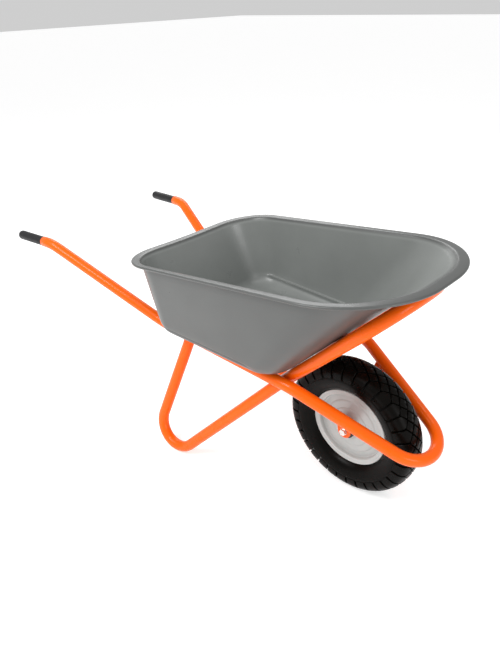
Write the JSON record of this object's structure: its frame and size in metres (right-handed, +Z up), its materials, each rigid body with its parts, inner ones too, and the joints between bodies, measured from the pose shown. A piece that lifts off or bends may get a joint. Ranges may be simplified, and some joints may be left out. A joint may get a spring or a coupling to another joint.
{
  "type": "wheelbarrow",
  "caption": "Builder's wheelbarrow with a deep grey steel tray, an orange bent-tube frame, a pneumatic wheel in front, tube legs and black handle grips.",
  "frame": {"origin": "On the ground straight below the wheel axle, in the plane of symmetry.", "axes": "+X points forward, from the handles to the wheel. +Y points to the left of the person pushing. +Z points up."},
  "size_m": [1.4384, 0.5996, 0.6991],
  "materials": {
    "frame_paint": "glossy orange powder coat",
    "tray_paint": "satin grey paint on pressed steel",
    "grip_plastic": "matt black soft plastic",
    "zinc_steel": "zinc-plated steel",
    "bearing_steel": "ground bearing steel",
    "rim_paint": "silver-grey lacquered sheet steel",
    "hub_plastic": "moulded black nylon",
    "tyre_rubber": "black moulded rubber with block tread",
    "soft_rubber": "smooth black rubber",
    "cap_plastic": "small black moulded cap"
  },
  "bodies": {
    "frame": {"tray": "tray_paint", "main_tube": "frame_paint", "leg_tube": "frame_paint", "rear_crossbar": "frame_paint", "front_crossbar": "frame_paint", "front_strap": "frame_paint", "grip_left": "grip_plastic", "grip_right": "grip_plastic", "bracket_left": "frame_paint", "bracket_right": "frame_paint", "axle_bolt": "zinc_steel", "axle_nut": "zinc_steel", "axle_washers": "zinc_steel", "outer_spacer_left": "zinc_steel", "outer_spacer_right": "zinc_steel", "inner_spacer": "zinc_steel", "inner_race_left": "bearing_steel", "inner_race_right": "bearing_steel", "tray_bolts": "zinc_steel", "tray_washers": "zinc_steel", "tray_nuts": "zinc_steel"},
    "wheel": {"outer_race_left": "bearing_steel", "outer_race_right": "bearing_steel", "balls_left": "bearing_steel", "balls_right": "bearing_steel", "bearing_seal_left": "soft_rubber", "bearing_seal_right": "soft_rubber", "hub": "hub_plastic", "rim_half_left": "rim_paint", "rim_half_right": "rim_paint", "rim_tape": "soft_rubber", "tyre": "tyre_rubber", "inner_tube": "soft_rubber", "valve_stem": "soft_rubber", "valve_cap": "cap_plastic"}
  },
  "joints": [
    {"name": "wheel_spin", "type": "hinge", "parent": "frame", "child": "wheel", "pos_m": [0, 0, 0.2], "axis": [0, 1, 0], "continuous": true}
  ]
}
